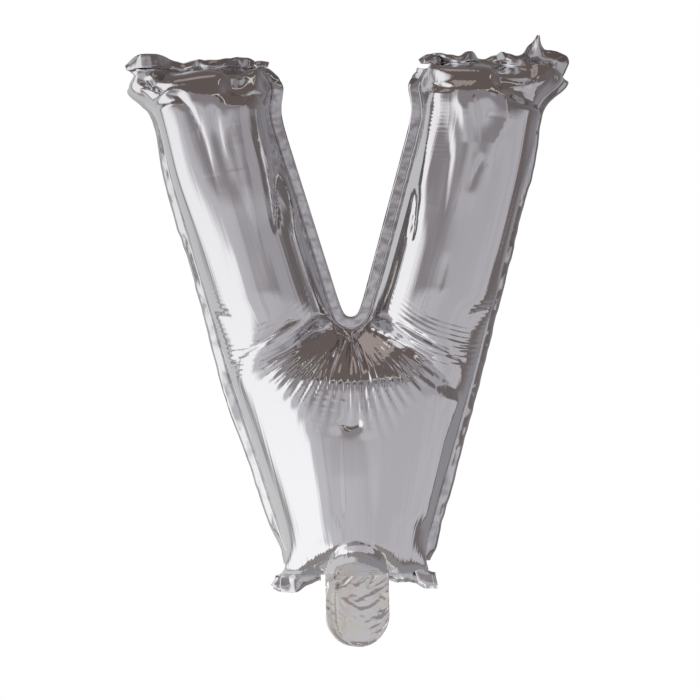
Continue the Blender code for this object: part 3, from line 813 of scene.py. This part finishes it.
def panelPiece(name, right, left, flip):
    # both halves of a panel as one mesh, sewn along the letter's middle line below the notch; its UV map
    # runs along the tubes, so that the film's streaks follow them
    rows, columns = right.shape[:2]
    index = np.arange(rows * columns).reshape(rows, columns)
    other = index + rows * columns
    other[rows // 2:, -1] = index[rows // 2:, -1]
    quads = np.concatenate([gridQuads(index), gridQuads(other)[:, ::-1]])
    points = np.concatenate([right.reshape(-1, 3), left.reshape(-1, 3)])
    wide = 124  # of a half's film in mm, as the streaks see it
    along = np.linspace(0, cut["top"], rows)[:, None] + 0 * index
    across = np.linspace(0, wide, columns)[None] + 0 * index
    half = np.stack([across, along], -1).reshape(-1, 2)
    uv = np.concatenate([half, half * (-1, 1) + (2 * wide, 0)]) * mm
    used = np.unique(quads)
    renumber = np.zeros(len(points), int)
    renumber[used] = np.arange(len(used))
    quads = renumber[quads]
    return meshFrom(name, points[used], quads[:, ::-1] if flip else quads, uv[used])


# materials and the room: nodes wired by small functions
def wired(tree, kind, out=None, sources=(), **settings):
    # a new node whose sockets are fed by outputs or set to values; returns the output named, or all of them
    made = tree.nodes.new("ShaderNode" + kind)
    for key, value in settings.items():
        setattr(made, key, value)
    for key, value in dict(sources).items():
        if isinstance(value, bpy.types.NodeSocket):
            tree.links.new(value, made.inputs[key])
        else:
            made.inputs[key].default_value = value
    return made.outputs if out is None else made.outputs[out]


def noise(tree, vector, scale, detail, stretch=None):
    # a noise's value, on coordinates that may be stretched first
    if stretch:
        vector = wired(tree, "Mapping", "Vector", {"Vector": vector, "Scale": stretch})
    return wired(tree, "TexNoise", "Fac", {"Vector": vector, "Scale": scale, "Detail": detail})


def ramp(tree, value, fromLow, fromHigh, low, high, kind="LINEAR"):
    # a value carried from one range to another
    ends = {"From Min": fromLow, "From Max": fromHigh, "To Min": low, "To Max": high}
    return wired(tree, "MapRange", "Result", {"Value": value, **ends}, interpolation_type=kind)


def mixed(tree, share, one, two, label=""):
    # the first colour, giving way to the second by a share
    return wired(tree, "Mix", 2, {0: share, 6: one, 7: two}, data_type="RGBA", label=label)


def bumped(tree, height, strength, distance, **under):
    # the normal under it, tilted by a height
    sizes = {"Height": height, "Strength": strength, "Distance": distance}
    return wired(tree, "Bump", "Normal", {**sizes, **under})


def newMaterial(name):
    # a material, its node tree and its shader's sockets
    made = bpy.data.materials.new(name)
    made.use_nodes = True
    return made, made.node_tree, made.node_tree.nodes["Principled BSDF"].inputs


foilLooks = {  # bumps: coordinates, scale, detail, stretch, strength, height in metres
    "mirror_foil": {
        "colour": (0.80, 0.795, 0.815),
        # painted shade: the darker colour it takes towards the heads, where they reflect the dim room
        "upper": (0.70, 0.69, 0.71),
        "tints": (),
        "roughness": (0.04, 0.09),
        "bumps": (("UV", 1.0, 2.0, (320.0, 9.0, 1.0), 0.4, 0.0004),
                  ("UV", 1.0, 1.0, (120.0, 3.0, 1.0), 0.35, 0.0008),
                  ("Object", 700.0, 2.0, None, 0.05, 0.0003)),
    },
    "welded_margin_foil": {
        "colour": (0.78, 0.775, 0.79),
        # painted shade: the darker colour the margins take towards the heads
        "upper": (0.62, 0.61, 0.63),
        "tints": (((0.5, 0.49, 0.5), 90.0),),
        "roughness": (0.06, 0.14),
        "bumps": (("Object", 120.0, 1.0, None, 0.55, 0.0016),
                  ("Object", 420.0, 2.0, None, 0.12, 0.0004)),
    },
    "slack_tail_foil": {
        "colour": (0.88, 0.87, 0.86),
        "upper": (0.88, 0.87, 0.86),
        "tints": (((0.88, 0.84, 0.70), 45.0), ((0.86, 0.79, 0.79), 70.0)),
        "roughness": (0.06, 0.15),
        "bumps": (("Object", 75.0, 0.0, (1.0, 1.0, 0.7), 0.7, 0.003),
                  ("Object", 260.0, 1.0, None, 0.25, 0.0006)),
    },
}


def foil(name, look):
    # metallised film: a mirror with painted shade, its colour darker towards the top, with long streaks, a
    # fine grain and crinkles
    made, tree, shader = newMaterial(name)
    where = wired(tree, "TexCoord")
    shader["Metallic"].default_value = 1.0
    # painted shade: the base colour goes from colour to the darker upper colour between 6 and 33 cm up
    height = wired(tree, "SeparateXYZ", 2, {0: where["Object"]})
    colour = mixed(tree, ramp(tree, height, 0.06, 0.33, 0.0, 1.0), (*look["colour"], 1), (*look["upper"], 1))
    for tint, scale in look["tints"]:
        patches = ramp(tree, noise(tree, where["Object"], scale, 2.0), 0.5, 0.68, 0.0, 0.8)
        colour = mixed(tree, patches, colour, (*tint, 1))
    tree.links.new(colour, shader["Base Color"])
    dull = ramp(tree, noise(tree, where["Object"], 60.0, 3.0), 0.3, 0.7, *look["roughness"])
    tree.links.new(dull, shader["Roughness"])
    under = {}
    for vector, scale, detail, stretch, strength, distance in look["bumps"]:
        raised = noise(tree, where[vector], scale, detail, stretch)
        under = {"Normal": bumped(tree, raised, strength, distance, **under)}
    tree.links.new(under["Normal"], shader["Normal"])
    return made


def clearFilm():
    # the valve's films: clear plastic with a slight grain
    made, tree, shader = newMaterial("clear_valve_film")
    shader["Base Color"].default_value = (0.93, 0.92, 0.88, 1)
    shader["Transmission Weight"].default_value = 0.9
    shader["IOR"].default_value = 1.45
    grain = noise(tree, wired(tree, "TexCoord", "Object"), 150.0, 2.0)
    tree.links.new(ramp(tree, grain, 0.0, 1.0, 0.08, 0.25), shader["Roughness"])
    tree.links.new(bumped(tree, grain, 0.4, 0.001), shader["Normal"])
    return made


# the studio, told by direction: azimuth and elevation of the middle, half width and height, soft edge, all in
# degrees, then colour and strength
softBoxes = [
    ("left rear", -150, -30, 38, 60, 16, (1.0, 1.0, 1.0), 0.66),
    ("grey wall", 18, -20, 74, 70, 8, (0.985, 0.965, 1.0), 0.56),
    ("wall by the window", -34, -20, 26, 70, 40, (0.98, 0.965, 1.0), 0.62),
    ("shaded wall", 34, -20, 14, 70, 20, (0.98, 0.955, 0.985), 0.52),
    ("pale panel", 66, -20, 5, 70, 3, (0.98, 0.965, 1.0), 0.53),
    ("shadow line", -8, -20, 2.5, 70, 4, (0.98, 0.96, 1.0), 0.50),
    ("upper wall", -22, 33, 54, 28, 18, (0.3, 0.275, 0.285), 1.0),
    ("upper pale wall", 46, 33, 16, 28, 14, (0.42, 0.405, 0.43), 1.0),
    ("upper dark strip", 80, 33, 19, 28, 12, (0.17, 0.15, 0.15), 1.0),
    ("left window", -74, -20, 27, 70, 24, (1.0, 1.0, 1.0), 1.12),
    ("dark strip", 120, -20, 30, 70, 7, (0.19, 0.16, 0.155), 1.0),
    ("right rear", 160, -30, 46, 60, 40, (0.97, 0.95, 1.0), 0.3),
    ("ceiling", 0, 90, 190, 38, 8, (0.16, 0.13, 0.12), 1.0),
    ("beige ceiling", -132, 76, 56, 13, 5, (0.41, 0.345, 0.315), 1.0),
    ("dark cornice", 34, 42, 18, 11, 6, (0.13, 0.11, 0.105), 1.0),
    ("cream edge", 38, 49, 34, 2, 1.5, (0.8, 0.8, 0.66), 1.0),
]
roomColour = (0.16, 0.135, 0.13)


def room():
    # the world: white to the camera, and for reflections a dim room with a soft box for each row above. A
    # direction's azimuth is the arctangent of x over minus y, its elevation the arcsine of z
    world = bpy.data.worlds.new("room")
    bpy.context.scene.world = world
    world.use_nodes = True
    tree = world.node_tree
    tree.nodes.clear()

    def maths(kind, a, b=0.0):
        return wired(tree, "Math", 0, {0: a, 1: b}, operation=kind)

    def within(angle, middle, half, soft):
        # 1 inside the half width, fading to 0 over the soft edge
        away = maths("ABSOLUTE", maths("SUBTRACT", angle, middle))
        return ramp(tree, away, half - soft / 2, half + soft / 2, 1.0, 0.0, "SMOOTHSTEP")

    way = wired(tree, "TexCoord", "Generated")
    x, y, z = wired(tree, "SeparateXYZ", None, {0: way})
    degrees = 180 / math.pi
    azimuth = maths("MULTIPLY", maths("ARCTAN2", x, maths("MULTIPLY", y, -1.0)), degrees)
    elevation = maths("MULTIPLY", maths("ARCSINE", z), degrees)
    total = (*roomColour, 1)
    for name, az, el, halfWide, halfHigh, soft, colour, strength in softBoxes:
        mask = maths("MULTIPLY", within(azimuth, az, halfWide, soft), within(elevation, el, halfHigh, soft))
        total = mixed(tree, mask, total, (*(c * strength for c in colour), 1), name)
    lit = wired(tree, "Background", 0, {"Color": total})
    plain = wired(tree, "Background", 0, {"Color": (1, 1, 1, 1)})
    ray = wired(tree, "LightPath", "Is Camera Ray")
    either = wired(tree, "MixShader", 0, {0: ray, 1: lit, 2: plain})
    wired(tree, "OutputWorld", None, {"Surface": either})


floorPlan = {"height": -2.2, "radius": 0.7}


def addPiece(name, data):
    # an object at the origin, in the scene
    piece = bpy.data.objects.new(name, data)
    bpy.context.scene.collection.objects.link(piece)
    return piece


def groundFloor():
    # a plain pale disc, two metres under the balloon, which hangs in the air
    turn = np.linspace(0, 2 * math.pi, 97)[:-1]
    rim = np.stack([np.cos(turn), np.sin(turn)], -1) * floorPlan["radius"]
    mesh = bpy.data.meshes.new("floor")
    mesh.from_pydata([(x, y, floorPlan["height"]) for x, y in rim], [], [list(range(len(rim)))])
    paint, _, shader = newMaterial("pale_floor")
    shader["Base Color"].default_value = (0.93, 0.91, 0.88, 1)
    shader["Roughness"].default_value = 0.7
    mesh.materials.append(paint)
    addPiece("floor", mesh)


lens = {"distance": 2.5, "aim": (-0.0012, 0.1524), "frame": 0.476, "roll": 1.3}


def photoCamera():
    # level and straight on, rolled a little, with the photo's frame 476 mm wide at the weld's plane
    made = bpy.data.cameras.new("camera")
    made.sensor_fit = "HORIZONTAL"
    made.angle = 2 * math.atan(lens["frame"] / 2 / lens["distance"])
    made.clip_end = 50
    roll = math.radians(lens["roll"])
    right = Vector((math.cos(roll), 0, -math.sin(roll)))
    up = Vector((math.sin(roll), 0, math.cos(roll)))
    place = Matrix((right, up, Vector((0, -1, 0)))).transposed().to_4x4()
    place.translation = (lens["aim"][0], -lens["distance"], lens["aim"][1])
    camera = addPiece("camera", made)
    camera.matrix_world = place
    bpy.context.scene.camera = camera


def finishPiece(piece, material, slot, *nodes):
    # its material, and the nodes of the part that it stands for; the slot is not used
    piece.data.materials.append(material)
    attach(piece, "root")
    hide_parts(*nodes)


def filmPiece(name, grid, uv, flip, thick):
    # a piece from one grid of points, its thickness half to each side, all in mm
    quads = gridQuads(np.arange(grid[..., 0].size).reshape(grid.shape[:2]))
    piece = meshFrom(name, grid.reshape(-1, 3), quads[:, ::-1] if flip else quads, uv.reshape(-1, 2) * mm)
    made = piece.modifiers.new("thickness", "SOLIDIFY")
    made.thickness = thick * mm
    made.offset = 0.0
    return piece


tail = {
    "half": 21.5,  # half its width, mm
    "top": 3.0,
    "end": -49.0,
    "tip": 3.0,  # half the last row's width
    "thick": 0.12,
    "rows": 17,  # of the coarsest grid, doubled twice
    "columns": 13,
    "slack": 1.05,  # film length over the tail's outline
    "steps": (300, 120, 60),
    "bend": 0.06,
    "rough": (1.8, 0.12),  # mm of noise on the coarsest grid and on the finer ones
    "deep": 3.0,  # how far it may buckle out of its plane, mm
    "flatten": 0.995,  # share of its depth kept each step
    "edgeGuide": 0.3,
    "valveShare": 0.72,  # of its width that the valve films take
    "seed": 11,
}


def tailPlan(rows, columns):
    # the tail's outline as a grid: straight sides and a half circle at the end
    half, top, end = tail["half"], tail["top"], tail["end"]
    z = np.linspace(top, end, rows)
    centre = end + half
    curved = np.sqrt(np.maximum(half ** 2 - (centre - z) ** 2, tail["tip"] ** 2))
    width = np.where(z >= centre, half, curved)
    return np.stack([width[:, None] * np.linspace(-1, 1, columns), z[:, None] + np.zeros(columns)], -1)


def tailFilm():
    # a slack film, cut longer than its place, buckles from seeded noise, coarse to fine, inside its outline
    rng = np.random.default_rng(tail["seed"])
    rows, columns = tail["rows"], tail["columns"]
    first, after = tail["rough"]
    rough = rng.normal(size=(1, rows, columns)) * first
    film = {"push": 0, "squeeze": 1.0, "bend": tail["bend"]}
    for level, steps in enumerate(tail["steps"]):
        plan = tailPlan(rows, columns)
        edge = upright(plan)
        if level == 0:
            film["p"] = edge[None] + rough[..., None] * (0, 1, 0)
        else:
            film["p"] = doubled(doubled(film["p"], 1), 2)
            film["p"][..., 1] += rng.normal(size=(1, rows, columns)) * after
        film["flat"] = plan * tail["slack"]

        def settle():
            p = film["p"][0]
            p[0] = edge[0]
            for line in ((slice(None), 0), (slice(None), -1), (-1, slice(None))):
                p[line][..., ::2] += (edge[line][..., ::2] - p[line][..., ::2]) * tail["edgeGuide"]
            p[..., 1] = np.clip(p[..., 1] * tail["flatten"], -tail["deep"], tail["deep"])

        relax([film], steps, settle)
        rows, columns = 2 * rows - 1, 2 * columns - 1
    return film["p"][0], plan


tailLayers = (  # piece, y, share of the tail's width, slot, node
    ("tail_front_film", -0.75, 1.0, "tail_foil", "tail_front"),
    ("tail_back_film", 0.75, 1.0, "tail_foil", "tail_back"),
    ("valve_film_front_sheet", -0.25, tail["valveShare"], "valve_film", "valve_film_front"),
    ("valve_film_back_sheet", 0.25, tail["valveShare"], "valve_film", "valve_film_back"),
)


def tailPieces(paints):
    # two outer films and two valve films between them, all one crumpled shape a little apart
    film, flat = tailFilm()
    for name, y, share, slot, node in tailLayers:
        uv = flat * (share, 1.0)
        piece = filmPiece(name, film * (share, 1, 1) + (0, y, 0), uv, y > 0, tail["thick"])
        finishPiece(piece, paints[slot], slot, node)
    print("tail made")


def marginPieces(strips, flatStrip, rows, columns, material):
    # the strips cut at their corners into the welded margins: the gap's in one piece, and each half's head,
    # outside and foot, the foot's ending beside the tail
    cornerIn = rows // 2
    cornerOut = cornerIn + columns - 1
    cornerFoot = cornerOut + rows - 1
    atTail = cornerFoot + int(np.argmin(np.abs(strips[0][cornerFoot:, 0, 0] - tail["half"])))
    parts = []
    for k, side in ((0, "_right"), (1, "_left")):
        for end, first, last in (("head", cornerIn, cornerOut), ("outer", cornerOut, cornerFoot),
                                 ("foot", cornerFoot, atTail)):
            part = slice(first, last + 1)
            parts.append((end + side, strips[k][part], flatStrip[part], k == 1))
    both = np.concatenate([strips[1][cornerIn:0:-1], strips[0][:cornerIn + 1]])
    bothFlat = np.concatenate([flatStrip[cornerIn:0:-1] * (-1, 1), flatStrip[:cornerIn + 1]])
    parts.append(("notch", both, bothFlat, False))
    for name, strip, flat, flip in parts:
        piece = filmPiece("margin_%s_foil" % name, strip, flat, flip, margin["thick"])
        finishPiece(piece, material, "welded_foil", "margin_" + name)
    print("margins cut into", len(parts), "pieces")


room()
groundFloor()
photoCamera()
sheets, strips, flatStrip = panels()
sheets = dressed(sheets)
mirrorFoil, marginFoil, tailFoil = (foil(name, look) for name, look in foilLooks.items())
for name, first, node in (("front_foil", 0, "front_panel"), ("back_foil", 2, "back_panel")):
    panel = panelPiece(name, sheets[first], sheets[first + 1], first == 0)
    finishPiece(panel, mirrorFoil, "foil", node)
print("panels made,", len(panel.data.polygons), "faces each")
strips = ruffled(doubled(doubled(strips, 1), 1))
flatStrip = doubled(doubled(flatStrip, 0), 0)
rows, columns = sheets.shape[1], 2 * sheets.shape[2] - 1  # the margins are as fine across the heads
marginPieces(strips, flatStrip, rows, columns, marginFoil)
tailPieces({"tail_foil": tailFoil, "valve_film": clearFilm()})

bpy.context.scene.view_settings.view_transform = "Standard"
